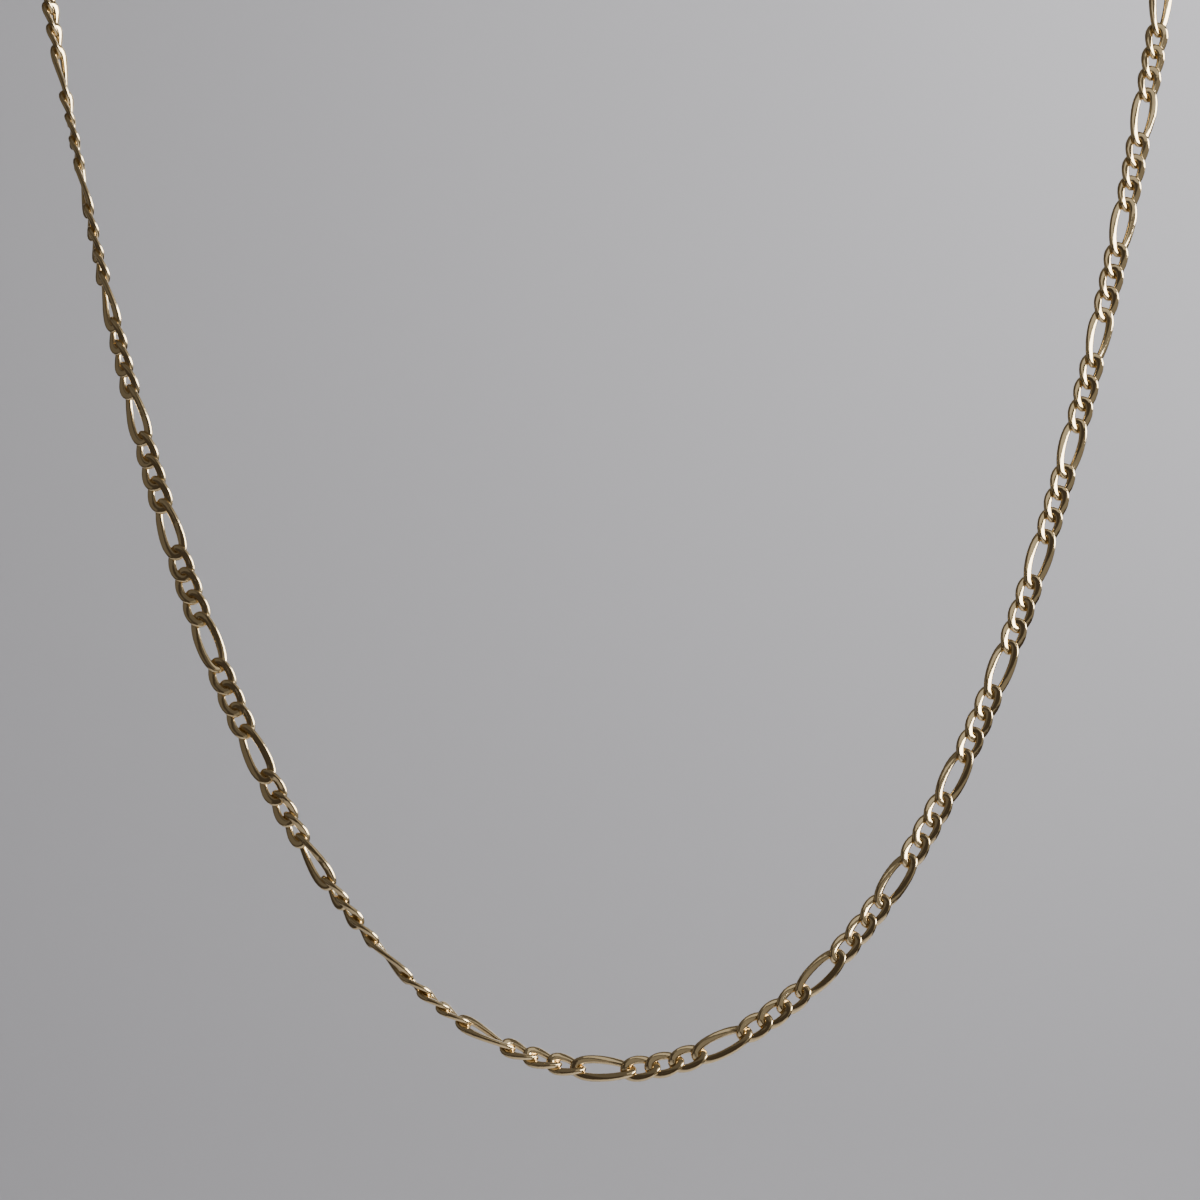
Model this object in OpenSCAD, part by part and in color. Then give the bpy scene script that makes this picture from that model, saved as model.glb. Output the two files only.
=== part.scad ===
/* [Links] */
// Distance between the two joints of a small link
small_span = 2.565; // [2.45:0.005:2.9]
// Distance between the two joints of a long link
long_span = 5.305; // [4.5:0.005:6.5]
// Small links between one long link and the next
smalls = 3; // [2:1:4]
// Width of the hole in a small link
small_hole = 1.12; // [1.05:0.01:1.5]
// Width of the hole in a long link
long_hole = 1.24; // [1.15:0.01:1.7]
// Thickness of the wire, measured across the link
wire_across = 0.84; // [0.7:0.01:0.95]
// Thickness of the wire, measured through the link
wire_through = 0.54; // [0.45:0.01:0.7]
// Space left between two wires that pass
wire_gap = 0.18; // [0.15:0.01:0.22]
// Depth of metal filed off the top of each crossing, front and back
filed_depth = 0.22; // [0.1:0.01:0.3]

/* [Loop] */
// Links on each side of the lowest long link
side_links = 66; // [50:4:66]
// How far the pattern of links is slid along the loop
slide = -0.8; // [-6:0.1:6]
// Radius of the bend at the lowest point of the loop
sag_radius = 25.5; // [22:0.5:34]
// How far the front of the loop leans back from upright, in degrees
lean = 12; // [0:1:25]
// Depth of the stretch round the neck, from the front's top to the nape
nape_depth = 28; // [24:1:34]
// Height of the nape above the front's top
nape_rise = 29; // [22:1:34]
// How far the front's direction carries on above its top
rise_pull = 24; // [18:1:32]
// How far the nape's direction reaches to each side
nape_pull = 44; // [30:1:50]

/* [Clasp] */
// Distance between the two joints of the clasp
clasp_span = 18.4; // [16:0.1:24]
// Diameter of the barrel
barrel_d = 3.4; // [3:0.1:4.5]
// Chamfer round each end of the barrel
barrel_chamfer = 0.6; // [0.3:0.1:1]
// Thickness of an eye's wire
eye_wire = 0.7; // [0.6:0.05:0.8]
// Width of the hole in an eye
eye_hole = 2.6; // [2.4:0.05:3]
// How far an eye's wire lies past its joint, inside the end link
eye_depth = 0.85; // [0.75:0.05:0.95]

/* [Hidden] */
gold = "#d8c08a";
clasp_gold = "#cfb478";

// The wire has six sides, and a link has ten rings of corners, given by their angle round its oval
wire_sides = 6;
small_rings = [0, 33, 72, 108, 147];
long_rings = [0, 30, 66, 114, 150];
// How square each oval is: 2 is an ellipse
small_squareness = 2.2;
long_squareness = 2.4;
// Wires pass on a slope, so each is lifted by more than half a wire and half the space between them
slope_allowance = 1.55;

// Turn of the chain about its own length. Position: share of half the loop, left of the lowest
// point negative. Degrees: 0 is flat to the front.
turns = [
    // [position, degrees]
    [-1.000, -90], [-0.640, -54], [-0.605, -62], [-0.582, -71], [-0.560, -83],
    [-0.540, -90], [-0.500, -93], [-0.475, -99], [-0.455, -109], [-0.435, -121],
    [-0.401, -132], [-0.379, -141], [-0.345, -153], [-0.310, -167], [-0.290, -174],
    [-0.245, -163], [-0.210, -138],
    [-0.178, -117], [-0.150, -98], [-0.122, -90], [-0.100, -84], [-0.068, -67],
    [-0.045, -53], [-0.022, -37], [0.010, -16], [0.053, -2], [0.133, 3],
    [0.355, 10], [0.520, 18], [0.620, 22], [0.950, 90], [1.000, 90]
];

function unit(v) = v / norm(v);
function asinh(t) = ln(t + sqrt(t * t + 1));
function mirrored(p) = [-p.x, p.y, p.z];
function sums(steps) = [for (i = 0, total = 0; i <= len(steps);
    total = total + (i < len(steps) ? steps[i] : 0), i = i + 1) total];
function steps_of(path) = [for (i = [1:len(path) - 1]) norm(path[i] - path[i - 1])];

// Length of chain from the lowest point to the far end of a link, counted up one side
function is_long(i) = i % (smalls + 1) == 0;
function longs_to(i) = floor(i / (smalls + 1));
function reach(i) = long_span / 2 + (i - longs_to(i)) * small_span + longs_to(i) * long_span;
half_loop = reach(side_links) + clasp_span / 2;

// The front hangs as a catenary in a leaning plane
function front_point(s) = let (h = norm([sag_radius, s]) - sag_radius)
    [sag_radius * asinh(s / sag_radius), h * sin(lean), h * cos(lean)];
function front_heading(s) = unit([sag_radius, s * sin(lean), s * cos(lean)]);
front_facing = [0, -cos(lean), sin(lean)];

// From the front's top one smooth curve goes back round the neck to the nape
curve_steps = 60;
function nape_of(top) = [0, top.y + nape_depth, top.z + nape_rise];
function neck_curve(s) =
    let (top = front_point(s), nape = nape_of(top), up = top + rise_pull * front_heading(s),
        side = nape + [nape_pull, 0, 0])
    [for (i = [0:curve_steps]) let (t = i / curve_steps, r = 1 - t)
        r * r * r * top + 3 * r * r * t * up + 3 * r * t * t * side + t * t * t * nape];
function top_at(s, tries) = tries == 0 ? s
    : top_at(half_loop - sums(steps_of(neck_curve(s)))[curve_steps], tries - 1);
front_length = top_at(0.6 * half_loop, 12);
neck_path = neck_curve(front_length);
neck_travel = sums(steps_of(neck_path));

// The facing is carried along that curve without turning about it
function heading_at(i) = i == 0 ? front_heading(front_length) : i == curve_steps ? [-1, 0, 0]
    : unit(neck_path[i + 1] - neck_path[i - 1]);
function carry(facing, heading) = unit(facing - (facing * heading) * heading);
neck_facings = [for (i = 0, facing = front_facing; i <= curve_steps;
    i = i + 1, facing = carry(facing, heading_at(min(i, curve_steps)))) facing];
function along_neck(values, s) = [for (axis = [0:2])
    lookup(s, [for (i = [0:curve_steps]) [front_length + neck_travel[i], values[i][axis]]])];

// Place and facing at any distance along the loop, which closes at the nape
function wrapped(s) = s > half_loop ? s - 2 * half_loop : s < -half_loop ? s + 2 * half_loop : s;
function side_point(s) = s <= front_length ? front_point(s) : along_neck(neck_path, s);
function side_facing(s) = s <= front_length ? front_facing : along_neck(neck_facings, s);
function loop_point(s) = let (w = wrapped(s)) w < 0 ? mirrored(side_point(-w)) : side_point(w);
function loop_facing(s) = let (w = wrapped(s)) w < 0 ? mirrored(side_facing(-w)) : side_facing(w);
function turn_at(s) = lookup(wrapped(s) / half_loop, turns);

// The origin is the middle of the neck, level with the nape
neck_middle = nape_of(front_point(front_length)) - [0, nape_depth / 2, 0];

// A frame between two joints: along, across, out of the face, middle
function pose(from, to) =
    let (a = loop_point(from), b = loop_point(to), along = unit(b - a), mid = (from + to) / 2,
        flat = carry(loop_facing(mid), along), turn = turn_at(mid),
        out = flat * cos(turn) + cross(along, flat) * sin(turn))
    [along, cross(out, along), out, (a + b) / 2 - neck_middle];
function placed(p, f) = f[3] + p.x * f[0] + p.y * f[1] + p.z * f[2];

// Where link i starts and ends along the loop
function near_end(i) = slide + (i > 0 ? reach(i - 1) : -reach(-i));
function far_end(i) = slide + (i < 0 ? -reach(-i - 1) : reach(i));

// One link: an oval of wire whose corners lift and dip, so that its neighbours pass through
lap = wire_across + wire_gap;
crest = slope_allowance * (wire_through + wire_gap) / 2;
face_height = crest + wire_through / 2 - filed_depth;
function rounded(x, squareness) = sign(x) * pow(abs(x), 2 / squareness);
function oval(angle, length, width, squareness) = [
    length / 2 * rounded(cos(angle), squareness),
    width / 2 * rounded(sin(angle), squareness),
    -crest * sin(2 * angle)];
function whole_turn(rings) = concat(rings, [for (angle = rings) angle + 180]);
function filed(p) = [p.x, p.y, max(-face_height, min(face_height, p.z))];
function link_corners(span, hole, squareness, rings) =
    let (angles = whole_turn(rings), count = len(angles),
        middles = [for (angle = angles) oval(angle, span + lap, hole + wire_across, squareness)])
    [for (i = [0:count - 1])
        let (heading = unit(middles[(i + 1) % count] - middles[(i + count - 1) % count]),
            side = unit([heading.y, -heading.x, 0]), face = cross(side, heading))
        for (k = [0:wire_sides - 1])
            let (angle = 90 + (k + 0.5) * 360 / wire_sides)
            filed(middles[i] + side * cos(angle) * wire_across / 2
                + face * sin(angle) * wire_through / 2 / cos(180 / wire_sides))];
small_link = link_corners(small_span, small_hole, small_squareness, small_rings);
long_link = link_corners(long_span, long_hole, long_squareness, long_rings);

function corner(ring, k, rings) = (ring % rings) * wire_sides + k % wire_sides;
function link_faces(rings, first) = [for (i = [0:rings - 1], k = [0:wire_sides - 1])
    let (a = first + corner(i, k, rings), b = first + corner(i, k + 1, rings),
        c = first + corner(i + 1, k + 1, rings), d = first + corner(i + 1, k, rings))
    each [[a, b, c], [a, c, d]]];

module chain(first, last) {
    ring_count = 2 * len(small_rings);
    color(gold) polyhedron(
        points = [for (i = [first:last]) let (f = pose(near_end(i), far_end(i)))
            for (p = is_long(abs(i)) ? long_link : small_link) placed(p, f)],
        faces = [for (i = [first:last])
            each link_faces(ring_count, (i - first) * ring_count * wire_sides)],
        convexity = 10);
}

module chain_right() {
    chain(0, side_links);
}

module chain_left() {
    chain(-side_links, -1);
}

// The clasp stands between the chain's two ends: a barrel with an eye at each end
eye_reach = (eye_hole + eye_wire) / 2;
module eye() {
    translate([eye_reach - eye_depth, 0, 0]) rotate([90, 0, 0])
        rotate_extrude($fn = 64) translate([eye_reach, 0]) circle(d = eye_wire, $fn = 32);
}

module barrel(length) {
    r = barrel_d / 2;
    c = barrel_chamfer;
    rotate([0, 90, 0]) rotate_extrude($fn = 64)
        polygon([[0, 0], [r - c, 0], [r, c], [r, length - c], [r - c, length], [0, length]]);
}

module clasp() {
    from = far_end(side_links);
    to = near_end(-side_links) + 2 * half_loop;
    f = pose(from, to);
    span = norm(loop_point(to) - loop_point(from));
    barrel_start = 2 * eye_reach - eye_depth - eye_wire / 4;
    color(clasp_gold) multmatrix([for (row = [0:2]) [f[0][row], f[1][row], f[2][row], f[3][row]]]) {
        translate([-span / 2, 0, 0]) eye();
        mirror([1, 0, 0]) translate([-span / 2, 0, 0]) eye();
        translate([barrel_start - span / 2, 0, 0]) barrel(span - 2 * barrel_start);
    }
}

chain_right();
chain_left();
clasp();
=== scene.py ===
import math
import random
from bisect import bisect_right
from itertools import accumulate

import bmesh
import bpy
from bpy.props import FloatProperty, FloatVectorProperty, IntProperty, PointerProperty
from bpy.types import Operator, Panel, PropertyGroup
from mathutils import Matrix, Vector


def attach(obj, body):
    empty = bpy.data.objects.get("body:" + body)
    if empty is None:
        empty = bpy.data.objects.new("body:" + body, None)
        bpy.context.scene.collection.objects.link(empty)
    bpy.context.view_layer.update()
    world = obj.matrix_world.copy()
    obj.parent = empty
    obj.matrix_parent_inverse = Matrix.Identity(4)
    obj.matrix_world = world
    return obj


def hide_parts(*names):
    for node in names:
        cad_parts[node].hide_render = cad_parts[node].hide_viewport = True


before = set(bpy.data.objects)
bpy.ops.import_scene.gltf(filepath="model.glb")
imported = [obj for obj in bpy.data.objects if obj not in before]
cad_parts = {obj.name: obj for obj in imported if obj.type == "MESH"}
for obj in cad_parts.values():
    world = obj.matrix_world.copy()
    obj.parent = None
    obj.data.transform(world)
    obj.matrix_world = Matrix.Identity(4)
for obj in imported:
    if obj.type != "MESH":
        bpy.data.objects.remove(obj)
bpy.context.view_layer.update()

bl_info = {
    "name": "Figaro Chain Necklace",
    "version": (1, 0, 0),
    "blender": (4, 5, 0),
    "location": "View3D > Sidebar > Necklace",
    "description": "Makes the links and the clasp of a gold figaro chain, and the studio round it",
    "category": "Add Mesh",
}

MM = 0.001

# Turn of the chain about its own length. Position: share of half the loop, left of the lowest
# point negative. Degrees: 0 is flat to the front.
TURNS = [
    # (position, degrees)
    (-1.000, -90), (-0.640, -54), (-0.605, -62), (-0.582, -71), (-0.560, -83),
    (-0.540, -90), (-0.500, -93), (-0.475, -99), (-0.455, -109), (-0.435, -121),
    (-0.401, -132), (-0.379, -141), (-0.345, -153), (-0.310, -167), (-0.290, -174),
    (-0.245, -163), (-0.210, -138), (-0.178, -117), (-0.150, -98), (-0.122, -90),
    (-0.100, -84), (-0.068, -67), (-0.045, -53), (-0.022, -37), (0.010, -16),
    (0.053, -2), (0.133, 3), (0.355, 10), (0.520, 18), (0.620, 22),
    (0.950, 90), (1.000, 90),
]


# Sizes and colours

def size(name, millimetres, description, least=0):
    return FloatProperty(name=name, description=description, default=millimetres * MM,
                         unit="LENGTH", min=least * MM, precision=5)


def angle(name, degrees, description):
    return FloatProperty(name=name, description=description, default=math.radians(degrees),
                         subtype="ANGLE")


def linear(code):
    """Turns a hex colour, as seen on a screen, into the numbers that a material takes"""
    shares = [int(code[i:i + 2], 16) / 255 for i in (1, 3, 5)]
    return tuple(s / 12.92 if s <= 0.04045 else ((s + 0.055) / 1.055) ** 2.4 for s in shares)


def colour(name, code, description):
    return FloatVectorProperty(name=name, description=description, default=linear(code),
                               subtype="COLOR", size=3, min=0, max=1)


class LinkSizes(PropertyGroup):
    small_span: size("Small link", 2.565, "Distance between the two joints of a small link")
    long_span: size("Long link", 5.305, "Distance between the two joints of a long link")
    smalls: IntProperty(name="Small links in a row", default=3, min=1,
                        description="Small links between one long link and the next")
    small_hole: size("Small hole", 1.06, "Width of the hole in a small link")
    long_hole: size("Long hole", 1.20, "Width of the hole in a long link")
    wire_across: size("Wire across", 0.88, "Thickness of the wire, measured across the link")
    wire_through: size("Wire through", 1.0,
                       "Thickness of the wire through the link, before it is rolled")
    rolled_from: size("Rolled from", 0.20,
                      "Height above the wire's middle from which it is rolled flatter")
    rolled_share: FloatProperty(name="Rolled share", default=0.34, min=0, max=1, subtype="FACTOR",
                                description="What is left of the metal's height above there")
    small_twist: angle("Small twist", 70, "Turn of a small link's one end against its other")
    long_twist: angle("Long twist", 62, "Turn of a long link's one end against its other")


class LoopSizes(PropertyGroup):
    side_links: IntProperty(name="Links a side", default=66, min=8,
                            description="Links on each side of the lowest long link")
    slide: size("Slide", -0.8, "How far the pattern of links is slid along the loop", least=-10)
    sag_radius: size("Sag radius", 25.5, "Radius of the bend at the lowest point of the loop")
    lean: angle("Lean", 12, "How far the front of the loop leans back from upright")
    nape_depth: size("Nape depth", 28, "Depth of the stretch round the neck")
    nape_rise: size("Nape rise", 29, "Height of the nape above the front's top")
    rise_pull: size("Rise pull", 24, "How far the front's direction carries on above its top")
    nape_pull: size("Nape pull", 44, "How far the nape's direction reaches to each side")


class ClaspSizes(PropertyGroup):
    span: size("Clasp", 18.4, "Distance between the two joints of the clasp")
    barrel: size("Barrel", 3.4, "Diameter of the barrel")
    chamfer: size("Barrel end", 0.6, "How far the barrel's ends are drawn in")
    eye_wire: size("Eye wire", 0.7, "Thickness of an eye's wire")
    eye_hole: size("Eye hole", 2.6, "Width of the hole in an eye")
    eye_depth: size("Eye depth", 0.85, "How far an eye's wire lies past its joint")
    collar: size("Collar", 0.35, "Length of the collar between the barrel and an eye")


class FinishColours(PropertyGroup):
    gold: colour("Chain gold", "#E2CA9C", "Pale 14 carat yellow gold of the links")
    clasp_gold: colour("Clasp gold", "#DFBE84", "Slightly warmer gold of the clasp")
    studio: colour("Studio", "#C9C8CC", "Pale grey of the floor and the backdrop")
    room: colour("Room", "#46423F", "What the metal mirrors where no lamp stands")


class StudioSizes(PropertyGroup):
    camera_distance: size("Camera distance", 500, "From the lowest point of the loop to the camera")
    camera_height: size("Camera height", 46.2, "Height of the camera above the lowest point")
    camera_side: size("Camera side", -45.4,
                      "How far the camera stands to the right of the lowest point", least=-500)
    camera_turn: angle("Camera turn", -4.97, "How far the camera is turned to the left")
    camera_tilt: angle("Camera tilt", 0.35, "How far the camera is tilted up")
    camera_roll: angle("Camera roll", -0.97, "How far the camera leans to its left")
    lens: FloatProperty(name="Lens", default=143.6, unit="CAMERA",
                        description="Focal length on a sensor 36 mm wide")
    floor_drop: size("Floor drop", 450, "Height of the lowest point above the floor")
    backdrop: size("Backdrop", 1250, "From the lowest point back to the upright backdrop")


class NecklaceSettings(PropertyGroup):
    links: PointerProperty(type=LinkSizes)
    loop: PointerProperty(type=LoopSizes)
    clasp: PointerProperty(type=ClaspSizes)
    colours: PointerProperty(type=FinishColours)
    studio: PointerProperty(type=StudioSizes)


# The route of the loop

CURVE_STEPS = 60
# The front's length is fitted to the curve round the neck, starting from a share of half the loop
FITTING_ROUNDS = 12
FIRST_FRONT_SHARE = 0.6


def mirrored(p):
    return Vector((-p.x, p.y, p.z))


def between(places, values, place):
    """Reads a table at any place between its rows"""
    i = min(max(bisect_right(places, place) - 1, 0), len(places) - 2)
    share = (place - places[i]) / (places[i + 1] - places[i])
    return values[i] + (values[i + 1] - values[i]) * min(max(share, 0), 1)


def carried(facing, heading):
    """The facing kept square to a heading, without turning about it"""
    return (facing - facing.dot(heading) * heading).normalized()


class Route:
    """The loop hangs at the front as a catenary in a leaning plane, then one smooth curve on each
    side takes it back round the neck to the nape. Distances run from the lowest point, to the
    right positive, and the loop closes at the nape."""

    def __init__(self, settings):
        self.links, self.loop = settings.links, settings.loop
        self.half_loop = self.reach(self.loop.side_links) + settings.clasp.span / 2
        self.front_facing = Vector((0, -math.cos(self.loop.lean), math.sin(self.loop.lean)))
        self.front_length = FIRST_FRONT_SHARE * self.half_loop
        for _ in range(FITTING_ROUNDS):
            self.front_length = self.half_loop - self.neck_travel(self.front_length)[-1]
        self.travel = [self.front_length + t for t in self.neck_travel(self.front_length)]
        self.neck = self.neck_curve(self.front_length)
        self.facings = self.neck_facings()
        self.neck_middle = self.neck[-1] - Vector((0, self.loop.nape_depth / 2, 0))

    def is_long(self, i):
        return abs(i) % (self.links.smalls + 1) == 0

    def reach(self, i):
        """Length of chain from the lowest point to the far end of a link, counted up one side"""
        longs = i // (self.links.smalls + 1)
        return self.links.long_span * (longs + 0.5) + self.links.small_span * (i - longs)

    def ends(self, i):
        """Where link i starts and ends along the loop"""
        near = self.reach(i - 1) if i > 0 else -self.reach(-i)
        far = -self.reach(-i - 1) if i < 0 else self.reach(i)
        return self.loop.slide + near, self.loop.slide + far

    def front_point(self, s):
        radius, lean = self.loop.sag_radius, self.loop.lean
        height = math.hypot(radius, s) - radius
        return Vector((radius * math.asinh(s / radius), height * math.sin(lean),
                       height * math.cos(lean)))

    def front_heading(self, s):
        lean = self.loop.lean
        return Vector((self.loop.sag_radius, s * math.sin(lean), s * math.cos(lean))).normalized()

    def neck_curve(self, s):
        top = self.front_point(s)
        nape = Vector((0, top.y + self.loop.nape_depth, top.z + self.loop.nape_rise))
        up = top + self.loop.rise_pull * self.front_heading(s)
        side = nape + Vector((self.loop.nape_pull, 0, 0))
        points = []
        for step in range(CURVE_STEPS + 1):
            t = step / CURVE_STEPS
            r = 1 - t
            points.append(r ** 3 * top + 3 * r * r * t * up + 3 * r * t * t * side + t ** 3 * nape)
        return points

    def neck_travel(self, s):
        points = self.neck_curve(s)
        steps = [(b - a).length for a, b in zip(points, points[1:])]
        return [0.0, *accumulate(steps)]

    def neck_facings(self):
        last = len(self.neck) - 1
        facing, facings = self.front_facing, []
        for i in range(last + 1):
            if i == 0:
                heading = self.front_heading(self.front_length)
            elif i == last:
                heading = Vector((-1, 0, 0))
            else:
                heading = (self.neck[i + 1] - self.neck[i - 1]).normalized()
            facing = carried(facing, heading) if i else facing
            facings.append(facing)
        return facings

    def wrapped(self, s):
        return (s + self.half_loop) % (2 * self.half_loop) - self.half_loop

    def point(self, s):
        s = self.wrapped(s)
        if s < 0:
            return mirrored(self.point(-s))
        if s <= self.front_length:
            return self.front_point(s)
        return between(self.travel, self.neck, s)

    def facing(self, s):
        s = self.wrapped(s)
        if s < 0:
            return mirrored(self.facing(-s))
        if s <= self.front_length:
            return self.front_facing
        return between(self.travel, self.facings, s)

    def pose(self, start, end, roll=0.0):
        """A frame between two joints: x along, y across, z out of the face"""
        a, b, middle = self.point(start), self.point(end), (start + end) / 2
        along = (b - a).normalized()
        flat = carried(self.facing(middle), along)
        places, degrees = zip(*TURNS)
        turn = math.radians(between(places, degrees, self.wrapped(middle) / self.half_loop)) + roll
        out = flat * math.cos(turn) + along.cross(flat) * math.sin(turn)
        across = out.cross(along)
        turned = Matrix((along, across, out)).transposed().to_4x4()
        return Matrix.Translation((a + b) / 2 - self.neck_middle) @ turned


# Work on meshes

def clear_selection():
    if bpy.context.mode != "OBJECT":
        bpy.ops.object.mode_set(mode="OBJECT")
    bpy.ops.object.select_all(action="DESELECT")


def select_parts(parts, wanted):
    """Selects the vertices, edges or faces in edit mode that pass a test, and no others"""
    mesh = bmesh.from_edit_mesh(bpy.context.edit_object.data)
    bpy.ops.mesh.select_mode(type={"verts": "VERT", "edges": "EDGE", "faces": "FACE"}[parts])
    bpy.ops.mesh.select_all(action="DESELECT")
    for part in getattr(mesh, parts):
        part.select_set(wanted(part))
    bmesh.update_edit_mesh(bpy.context.edit_object.data)


def apply_modifier(piece, kind, **settings):
    modifier = piece.modifiers.new(kind.title(), kind)
    for name, value in settings.items():
        setattr(modifier, name, value)
    bpy.context.view_layer.objects.active = piece
    bpy.ops.object.modifier_apply(modifier=modifier.name)


def joined(pieces, name):
    """Joins pieces into one object whose place is in its mesh"""
    clear_selection()
    for piece in pieces:
        piece.select_set(True)
    bpy.context.view_layer.objects.active = pieces[0]
    bpy.ops.object.join()
    whole = bpy.context.object
    whole.name = whole.data.name = name
    return whole


# The links

WIRE_SIDES = 14
OVAL_STEPS = 720
SMALL_RINGS = 26
LONG_RINGS = 34
# How square each oval is: 2 is an ellipse
SMALL_SQUARENESS = 2.2
LONG_SQUARENESS = 2.4
# A face counts as rolled where this much of its direction points straight out of the link
ROLLED_FACING = 0.9
LINK_SMOOTHING = math.radians(50)
# Single links hang turned a little by chance: the seed of the draws, and degrees either way
ROLL_SEED = 7
LARGEST_ROLL = 6


def oval_point(angle, length, width, squareness):
    def rounded(x):
        return math.copysign(abs(x) ** (2 / squareness), x)
    return Vector((length / 2 * rounded(math.cos(angle)), width / 2 * rounded(math.sin(angle)), 0))


def oval_rings(count, *form):
    """Middles and headings of the rings round an oval. They stand closer together where it bends
    more."""
    fine = [oval_point(math.tau * i / OVAL_STEPS, *form) for i in range(OVAL_STEPS)]
    steps = [fine[(i + 1) % OVAL_STEPS] - fine[i] for i in range(OVAL_STEPS)]
    bends = [steps[i].angle(steps[i - 1]) for i in range(OVAL_STEPS)]
    whole_way, whole_bend = sum(s.length for s in steps), sum(bends)
    gains = ((s.length / whole_way + b / whole_bend) / 2 for s, b in zip(steps, bends))
    shares = [0.0, *accumulate(gains)]
    for ring in range(count):
        i = bisect_right(shares, ring / count) - 1
        yield fine[i], (fine[(i + 1) % OVAL_STEPS] - fine[i - 1]).normalized()


def add_wire_ring(middle, heading, links):
    """Adds a ring square to its heading and stretches it from round to the wire's section"""
    side = Vector((heading.y, -heading.x, 0)).normalized()
    turned = Matrix((side, side.cross(heading), -heading)).transposed()
    stretch = links.wire_through / links.wire_across
    bpy.ops.mesh.primitive_circle_add(vertices=WIRE_SIDES, radius=links.wire_across / 2,
                                      location=middle, rotation=turned.to_euler(),
                                      enter_editmode=True)
    bpy.ops.transform.resize(value=(1, stretch, 1), orient_type="GLOBAL", orient_matrix=turned,
                             orient_matrix_type="GLOBAL", center_override=middle)


def roll_flat(height, share):
    """Squeezes whatever stands further out than a height, front and back, to a low crown"""
    for side in (height, -height):
        select_parts("verts", lambda vertex: vertex.co.z / side > 1)
        bpy.ops.transform.resize(value=(1, 1, share), center_override=(0, 0, side))


def model_link(name, span, hole, twist, squareness, rings, links, materials):
    """Bends a closed ring of wire, rolls it nearly flat and twists it about its length, so that
    its corners pass over and under its neighbours'. It meets their ends at its two joints."""
    clear_selection()
    length, width = span + links.wire_across, hole + links.wire_across
    for middle, heading in oval_rings(rings, length, width, squareness):
        add_wire_ring(middle, heading, links)
    bpy.ops.mesh.select_all(action="SELECT")
    bpy.ops.mesh.bridge_edge_loops(type="CLOSED")
    bpy.ops.mesh.select_all(action="SELECT")
    bpy.ops.mesh.normals_make_consistent(inside=False)
    bpy.ops.object.mode_set(mode="OBJECT")
    bpy.ops.object.transform_apply(location=True, rotation=True, scale=True)
    link = bpy.context.object
    link.name = name
    for material in materials:
        link.data.materials.append(material)
    bpy.ops.object.mode_set(mode="EDIT")
    roll_flat(links.rolled_from, links.rolled_share)
    select_parts("faces", lambda face: abs(face.normal.z) > ROLLED_FACING)
    link.active_material_index = 1
    bpy.ops.object.material_slot_assign()
    bpy.ops.object.mode_set(mode="OBJECT")
    apply_modifier(link, "SIMPLE_DEFORM", deform_method="TWIST", deform_axis="X", angle=-twist)
    bpy.ops.object.shade_smooth_by_angle(angle=LINK_SMOOTHING)
    return link


def model_chain(name, numbers, patterns, route, rolls):
    """Copies the two kinds of link along the route and joins them"""
    copies = []
    for i in numbers:
        pattern = patterns["long" if route.is_long(i) else "small"]
        copy = pattern.copy()
        copy.data = pattern.data.copy()
        copy.data.transform(route.pose(*route.ends(i), rolls[i]))
        bpy.context.collection.objects.link(copy)
        copies.append(copy)
    return joined(copies, name)


# The clasp

BARREL_SIDES = 48
EYE_SIDES = 14
EYE_STEPS = 40
END_STEPS = 5
# An eye's wire reaches into the barrel by this share of its thickness
EYE_SUNK_SHARE = 0.25
# Radius of a collar, as a share of the barrel's diameter
COLLAR_SHARE = 0.28
# Width of a turned line, and where the lines start, from the barrel's end
LINE_WIDTH = 0.12 * MM
LINE_PLACES = (1.6 * MM, 2.0 * MM)
MERGED_WITHIN = 0.001 * MM
CLASP_SMOOTHING = math.radians(40)


def in_place(piece, name, material, place):
    """Closes a shape, gives it its material and carries its mesh to its place"""
    bpy.ops.mesh.select_all(action="SELECT")
    bpy.ops.mesh.remove_doubles(threshold=MERGED_WITHIN)
    bpy.ops.mesh.normals_make_consistent(inside=False)
    bpy.ops.object.mode_set(mode="OBJECT")
    bpy.ops.object.transform_apply(location=True, rotation=True, scale=True)
    piece.name = piece.data.name = name
    piece.data.materials.append(material)
    bpy.ops.object.shade_smooth_by_angle(angle=CLASP_SMOOTHING)
    piece.data.transform(place)
    return piece


def model_eye(joint, clasp, material, place):
    """Spins a ring of wire into an eye that stands square to the chain's faces. The joint is
    where it meets the end link; the eye reaches from there towards the barrel."""
    inward = -math.copysign(1, joint)
    reach = (clasp.eye_hole + clasp.eye_wire) / 2
    middle = joint + inward * (reach - clasp.eye_depth)
    clear_selection()
    bpy.ops.mesh.primitive_circle_add(vertices=EYE_SIDES, radius=clasp.eye_wire / 2,
                                      location=(middle + reach, 0, 0), enter_editmode=True)
    bpy.ops.mesh.spin(steps=EYE_STEPS, angle=math.tau, axis=(0, 1, 0), center=(middle, 0, 0))
    return in_place(bpy.context.object, "clasp_eye", material, place)


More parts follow.
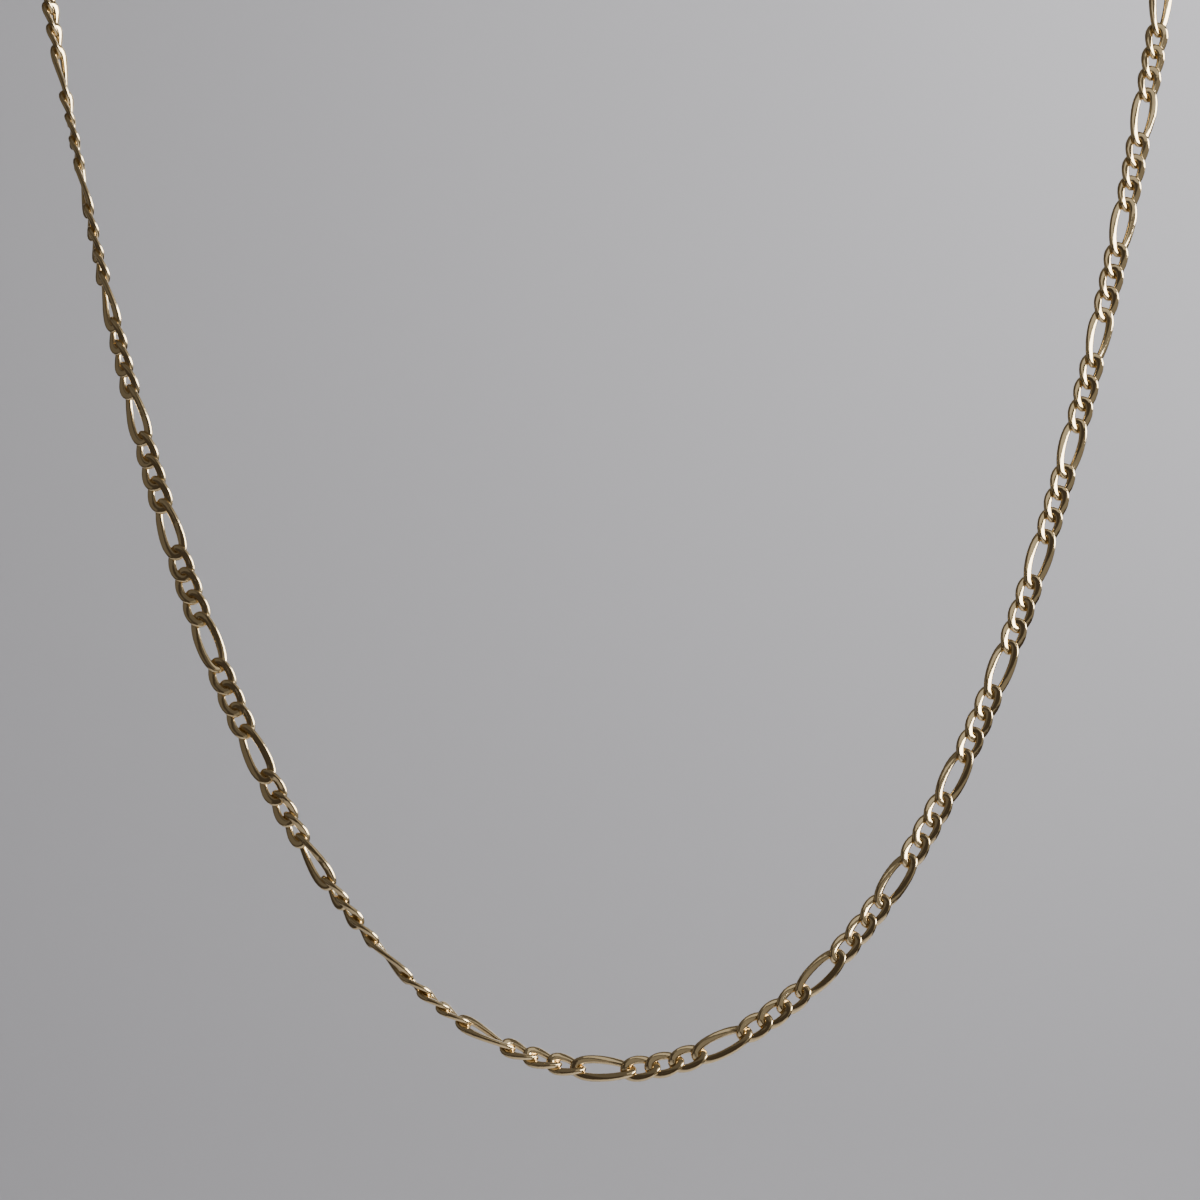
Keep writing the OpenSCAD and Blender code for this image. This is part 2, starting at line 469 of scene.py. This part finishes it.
def turned_profile(length, clasp):
    """Places along the barrel and their radii: a collar for each eye, a rounded shoulder, two fine
    lines near each end and the seam where the two halves screw together"""
    radius, collar, line = clasp.barrel / 2, clasp.barrel * COLLAR_SHARE, LINE_WIDTH
    half = [(0, collar), (clasp.collar, collar)]
    for step in range(END_STEPS + 1):
        turn = math.pi / 2 * step / END_STEPS
        half.append((clasp.collar + clasp.chamfer * (1 - math.cos(turn)),
                     radius - clasp.chamfer * (1 - math.sin(turn))))
    for place in LINE_PLACES:
        half += [(place, radius), (place + line / 2, radius - line / 2), (place + line, radius)]
    seam = length / 2
    groove = [(seam - line, radius), (seam - line / 2, radius - line),
              (seam + line / 2, radius - line), (seam + line, radius)]
    return half + groove + [(length - x, r) for x, r in reversed(half)]


def model_barrel(length, clasp, material, place):
    """Draws a disc out along the barrel, now wider and now narrower"""
    clear_selection()
    profile = turned_profile(length, clasp)
    bpy.ops.mesh.primitive_circle_add(vertices=BARREL_SIDES, radius=profile[0][1], fill_type="NGON",
                                      location=(-length / 2, 0, 0), rotation=(0, math.pi / 2, 0),
                                      enter_editmode=True)
    for (x, radius), (next_x, next_radius) in zip(profile, profile[1:]):
        grown, middle = next_radius / radius, (next_x - length / 2, 0, 0)
        bpy.ops.mesh.extrude_region_move(TRANSFORM_OT_translate={"value": (next_x - x, 0, 0)})
        bpy.ops.transform.resize(value=(1, grown, grown), center_override=middle)
    return in_place(bpy.context.object, "clasp_barrel", material, place)


# Materials

# Hairlines of wear are finer than the render shows, so they are drawn this far apart
SCRATCH_SPACING = 0.12 * MM
# How far apart patches lie that were rubbed more and less, and the noise between which they change
RUBBED_PATCH = 1.6 * MM
RUBBED_FROM, RUBBED_TO = 0.35, 0.65
PULP_SPACING = 0.8 * MM


def add_node(tree, kind, values=None, links=None):
    """Adds a node with the values of its sockets and the links into them"""
    made = tree.nodes.new(kind)
    for socket, value in (values or {}).items():
        made.inputs[socket].default_value = value
    for socket, source in (links or {}).items():
        tree.links.new(source, made.inputs[socket])
    return made


def new_material(name):
    material = bpy.data.materials.new(name)
    material.use_nodes = True
    material.node_tree.nodes.clear()
    return material, material.node_tree


def polished_gold(name, gold, dullest, brightest, swell, swell_depth, scratch_depth):
    """14 carat yellow gold. Swell is how far apart the hand of the polisher leaves its soft
    waves. Dullest and brightest are the roughness where it was rubbed least and most."""
    material, tree = new_material(name)
    place = add_node(tree, "ShaderNodeTexCoord").outputs["Object"]
    waves = add_node(tree, "ShaderNodeTexNoise", links={"Vector": place},
                     values={"Scale": 1 / swell, "Detail": 2.0, "Roughness": 0.5})
    scratches = add_node(tree, "ShaderNodeTexNoise", links={"Vector": place},
                         values={"Scale": 1 / SCRATCH_SPACING, "Detail": 3.0, "Roughness": 0.6,
                                 "Distortion": 1.5})
    rubbed = add_node(tree, "ShaderNodeTexNoise", links={"Vector": place},
                      values={"Scale": 1 / RUBBED_PATCH, "Detail": 4.0, "Roughness": 0.6})
    roughness = add_node(tree, "ShaderNodeMapRange", links={"Value": rubbed.outputs["Fac"]},
                         values={"From Min": RUBBED_FROM, "From Max": RUBBED_TO,
                                 "To Min": brightest, "To Max": dullest})
    wavy = add_node(tree, "ShaderNodeBump", values={"Strength": 1.0, "Distance": swell_depth},
                    links={"Height": waves.outputs["Fac"]})
    worn = add_node(tree, "ShaderNodeBump", values={"Strength": 1.0, "Distance": scratch_depth},
                    links={"Height": scratches.outputs["Fac"], "Normal": wavy.outputs["Normal"]})
    shader = add_node(tree, "ShaderNodeBsdfPrincipled",
                      values={"Base Color": (*gold, 1), "Metallic": 1.0},
                      links={"Roughness": roughness.outputs["Result"],
                             "Normal": worn.outputs["Normal"]})
    add_node(tree, "ShaderNodeOutputMaterial", links={"Surface": shader.outputs["BSDF"]})
    return material


def tumbled_wire(settings):
    """Wire that was soldered, twisted and tumbled bright: a soft mirror with gentle waves"""
    return polished_gold("tumble-polished gold wire", settings.colours.gold,
                         dullest=0.20, brightest=0.11, swell=0.8 * MM, swell_depth=0.030 * MM,
                         scratch_depth=0.0006 * MM)


def cut_face(settings):
    """Faces rolled nearly flat and then bright-cut: almost a true mirror, so that they flash
    white or go dark from one link to the next"""
    return polished_gold("bright-cut gold face", settings.colours.gold,
                         dullest=0.13, brightest=0.07, swell=1.0 * MM, swell_depth=0.025 * MM,
                         scratch_depth=0.0004 * MM)


def turned_barrel(settings):
    """Turned and buffed gold tube: an even mirror along its length"""
    return polished_gold("buffed gold barrel", settings.colours.clasp_gold,
                         dullest=0.22, brightest=0.12, swell=2.5 * MM, swell_depth=0.010 * MM,
                         scratch_depth=0.0006 * MM)


def studio_paper(settings):
    """Matt paper sweep: even and dull, with a faint grain of pulp"""
    material, tree = new_material("matt studio paper")
    place = add_node(tree, "ShaderNodeTexCoord").outputs["Object"]
    grain = add_node(tree, "ShaderNodeTexNoise", links={"Vector": place},
                     values={"Scale": 1 / PULP_SPACING, "Detail": 2.0})
    pulp = add_node(tree, "ShaderNodeBump", values={"Strength": 0.4, "Distance": 0.05 * MM},
                    links={"Height": grain.outputs["Fac"]})
    shader = add_node(tree, "ShaderNodeBsdfPrincipled", links={"Normal": pulp.outputs["Normal"]},
                      values={"Base Color": (*settings.colours.studio, 1), "Roughness": 0.9})
    add_node(tree, "ShaderNodeOutputMaterial", links={"Surface": shader.outputs["BSDF"]})
    return material


# The pieces

class NECKLACE_OT_chain(Operator):
    """Model the small and the long link and lay them along both halves of the loop"""
    bl_idname = "necklace.chain"
    bl_label = "Figaro Chain"

    def execute(self, context):
        settings = context.scene.necklace
        links, route = settings.links, Route(settings)
        finishes = [tumbled_wire(settings), cut_face(settings)]
        patterns = {
            "small": model_link("small_link", links.small_span, links.small_hole, links.small_twist,
                                SMALL_SQUARENESS, SMALL_RINGS, links, finishes),
            "long": model_link("long_link", links.long_span, links.long_hole, links.long_twist,
                               LONG_SQUARENESS, LONG_RINGS, links, finishes),
        }
        last = settings.loop.side_links
        draws = random.Random(ROLL_SEED)
        rolls = {i: math.radians(draws.uniform(-LARGEST_ROLL, LARGEST_ROLL))
                 for i in range(-last, last + 1)}
        for name, numbers in (("chain_right", range(0, last + 1)), ("chain_left", range(-last, 0))):
            chain = model_chain(name + "_links", numbers, patterns, route, rolls)
            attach(chain, "root")
            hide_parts(name)
        for pattern in patterns.values():
            bpy.data.objects.remove(pattern)
        return {"FINISHED"}


class NECKLACE_OT_clasp(Operator):
    """Turn the barrel clasp and its two eyes, which close the loop at the nape"""
    bl_idname = "necklace.clasp"
    bl_label = "Barrel Clasp"

    def execute(self, context):
        settings = context.scene.necklace
        clasp, route = settings.clasp, Route(settings)
        last = settings.loop.side_links
        start, end = route.ends(last)[1], route.ends(-last)[0] + 2 * route.half_loop
        span = (route.point(end) - route.point(start)).length
        place = route.pose(start, end)
        gold = turned_barrel(settings)
        sunk = clasp.eye_wire * EYE_SUNK_SHARE
        eye_room = clasp.eye_hole + clasp.eye_wire - clasp.eye_depth - sunk
        pieces = [model_barrel(span - 2 * eye_room, clasp, gold, place)]
        pieces += [model_eye(side * span / 2, clasp, gold, place) for side in (1, -1)]
        whole = joined(pieces, "barrel_clasp")
        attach(whole, "root")
        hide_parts("clasp")
        return {"FINISHED"}


# The studio

# Metres: the paper's width, its reach before the necklace, the radius of its bend and its rise
# above the bend
PAPER_WIDTH = 1.2
PAPER_FRONT = 1.6
BEND_RADIUS = 0.35
PAPER_RISE = 1.4
BEND_STEPS = 16
PAPER_MERGED_WITHIN = 0.1 * MM
SENSOR_WIDTH = 36


class NECKLACE_OT_studio(Operator):
    """Stand the necklace before a pale paper sweep, with its lamps and its camera"""
    bl_idname = "necklace.studio"
    bl_label = "Studio"

    def execute(self, context):
        settings = context.scene.necklace
        lowest = -Route(settings).neck_middle
        self.sweep(settings, lowest)
        self.lamps(lowest)
        self.room(context, settings)
        self.camera(context, settings.studio, lowest)
        return {"FINISHED"}

    def camera(self, context, studio, lowest):
        """The camera looks at the front of the necklace, nearly level"""
        camera = bpy.data.cameras.new("camera")
        camera.sensor_width = SENSOR_WIDTH
        camera.lens = studio.lens
        stand = bpy.data.objects.new("camera", camera)
        context.collection.objects.link(stand)
        stand.location = lowest + Vector((studio.camera_side, -studio.camera_distance,
                                          studio.camera_height))
        stand.rotation_euler = (math.pi / 2 + studio.camera_tilt, studio.camera_roll,
                                studio.camera_turn)
        context.scene.camera = stand

    def sweep(self, settings, lowest):
        """One sheet of paper: flat under the necklace, then curved up behind it"""
        floor = lowest.z - settings.studio.floor_drop
        front = lowest.y - PAPER_FRONT
        bend = lowest.y + settings.studio.backdrop - BEND_RADIUS
        clear_selection()
        bpy.ops.mesh.primitive_plane_add(size=1, location=(0, 0, floor), enter_editmode=True)
        bpy.ops.transform.resize(value=(PAPER_WIDTH, bend - front, 1),
                                 center_override=(0, 0, floor))
        bpy.ops.transform.translate(value=(0, (bend + front) / 2, 0))
        select_parts("edges", lambda edge: all(corner.co.y > 0 for corner in edge.verts))
        bpy.ops.mesh.spin(steps=BEND_STEPS, angle=-math.pi / 2, axis=(1, 0, 0),
                          center=(0, bend, floor + BEND_RADIUS))
        # The bend's last row is drawn up to the top of the paper
        bpy.ops.transform.translate(value=(0, 0, PAPER_RISE))
        bpy.ops.mesh.select_all(action="SELECT")
        bpy.ops.mesh.remove_doubles(threshold=PAPER_MERGED_WITHIN)
        bpy.ops.mesh.normals_make_consistent(inside=False)
        bpy.ops.object.mode_set(mode="OBJECT")
        bpy.ops.object.transform_apply(location=True, rotation=True, scale=True)
        bpy.ops.object.shade_smooth()
        paper = bpy.context.object
        paper.name = "paper_sweep"
        paper.data.materials.append(studio_paper(settings))

    def lamps(self, lowest):
        """Lamps round the lowest point. Azimuth 0 is the camera's side, to the right positive.
        Each lamp points at a target and isn't seen itself. Its brightness is what the metal
        mirrors, where 1 is about as bright as white paper."""
        necklace, backdrop = Vector((0, 0, 0.06)), Vector((0.60, 1.25, 0.47))
        right_strand, floor = Vector((0.045, 0.013, 0.06)), Vector((0, -0.5, -0.45))
        for name, azimuth, elevation, distance, target, across, up, brightness in (
            # (name, degrees, degrees, metres, target, metres, metres, brightness)
            ("key softbox", 84, 20, 0.75, necklace, 0.80, 0.36, 13.0),
            ("near softbox", 50, 58.6, 0.178, right_strand, 0.10, 0.10, 0.5),
            ("ceiling", 60, 80, 0.80, necklace, 1.50, 1.30, 0.08),
            ("left wall", -80, 15, 0.90, necklace, 1.80, 0.80, 0.09),
            ("right wall", 60, 10, 0.90, necklace, 1.80, 0.95, 0.20),
            ("far wall", 140, 22, 1.10, necklace, 0.90, 0.80, 0.45),
            ("backdrop wash", 140, 27, 1.04, backdrop, 0.52, 0.42, 8.5),
            ("floor wash", 0, -24, 0.55, floor, 1.60, 1.60, 0.35),
        ):
            turn, rise = math.radians(azimuth), math.radians(elevation)
            place = distance * Vector((math.sin(turn) * math.cos(rise),
                                       -math.cos(turn) * math.cos(rise), math.sin(rise)))
            lamp = bpy.data.lights.new(name, "AREA")
            lamp.shape = "RECTANGLE"
            lamp.size, lamp.size_y = across, up
            lamp.energy = brightness * math.pi * across * up
            stand = bpy.data.objects.new(name, lamp)
            bpy.context.collection.objects.link(stand)
            stand.location = lowest + place
            stand.rotation_euler = (target - place).to_track_quat("-Z", "Y").to_euler()
            stand.visible_camera = False

    def room(self, context, settings):
        """A dim room for the metal to mirror, seen pale where no paper stands behind the object"""
        world = bpy.data.worlds.new("studio room")
        world.use_nodes = True
        tree = world.node_tree
        tree.nodes.clear()
        dim = add_node(tree, "ShaderNodeBackground",
                       values={"Color": (*settings.colours.room, 1), "Strength": 1.0})
        pale = add_node(tree, "ShaderNodeBackground",
                        values={"Color": (*settings.colours.studio, 1), "Strength": 0.5})
        seen = add_node(tree, "ShaderNodeLightPath")
        mix = add_node(tree, "ShaderNodeMixShader", links={0: seen.outputs["Is Camera Ray"],
                                                            1: dim.outputs["Background"],
                                                            2: pale.outputs["Background"]})
        add_node(tree, "ShaderNodeOutputWorld", links={"Surface": mix.outputs["Shader"]})
        context.scene.world = world


class NECKLACE_PT_panel(Panel):
    """Sizes, colours and steps of the necklace"""
    bl_idname = "NECKLACE_PT_panel"
    bl_label = "Figaro Necklace"
    bl_space_type = "VIEW_3D"
    bl_region_type = "UI"
    bl_category = "Necklace"

    def draw(self, context):
        settings = context.scene.necklace
        for title, group in (("Links", settings.links), ("Loop", settings.loop),
                             ("Clasp", settings.clasp), ("Colours", settings.colours),
                             ("Studio", settings.studio)):
            box = self.layout.box()
            box.label(text=title)
            for name in group.bl_rna.properties.keys():
                if name not in {"rna_type", "name"}:
                    box.prop(group, name)
        for step in STEPS:
            self.layout.operator(step.bl_idname)


STEPS = (NECKLACE_OT_chain, NECKLACE_OT_clasp, NECKLACE_OT_studio)
CLASSES = (LinkSizes, LoopSizes, ClaspSizes, FinishColours, StudioSizes, NecklaceSettings,
           *STEPS, NECKLACE_PT_panel)


def register():
    for cls in CLASSES:
        bpy.utils.register_class(cls)
    bpy.types.Scene.necklace = PointerProperty(type=NecklaceSettings)


def unregister():
    del bpy.types.Scene.necklace
    for cls in reversed(CLASSES):
        bpy.utils.unregister_class(cls)


def main():
    register()
    bpy.ops.necklace.chain()
    bpy.ops.necklace.clasp()
    bpy.ops.necklace.studio()


if __name__ == "__main__":
    main()
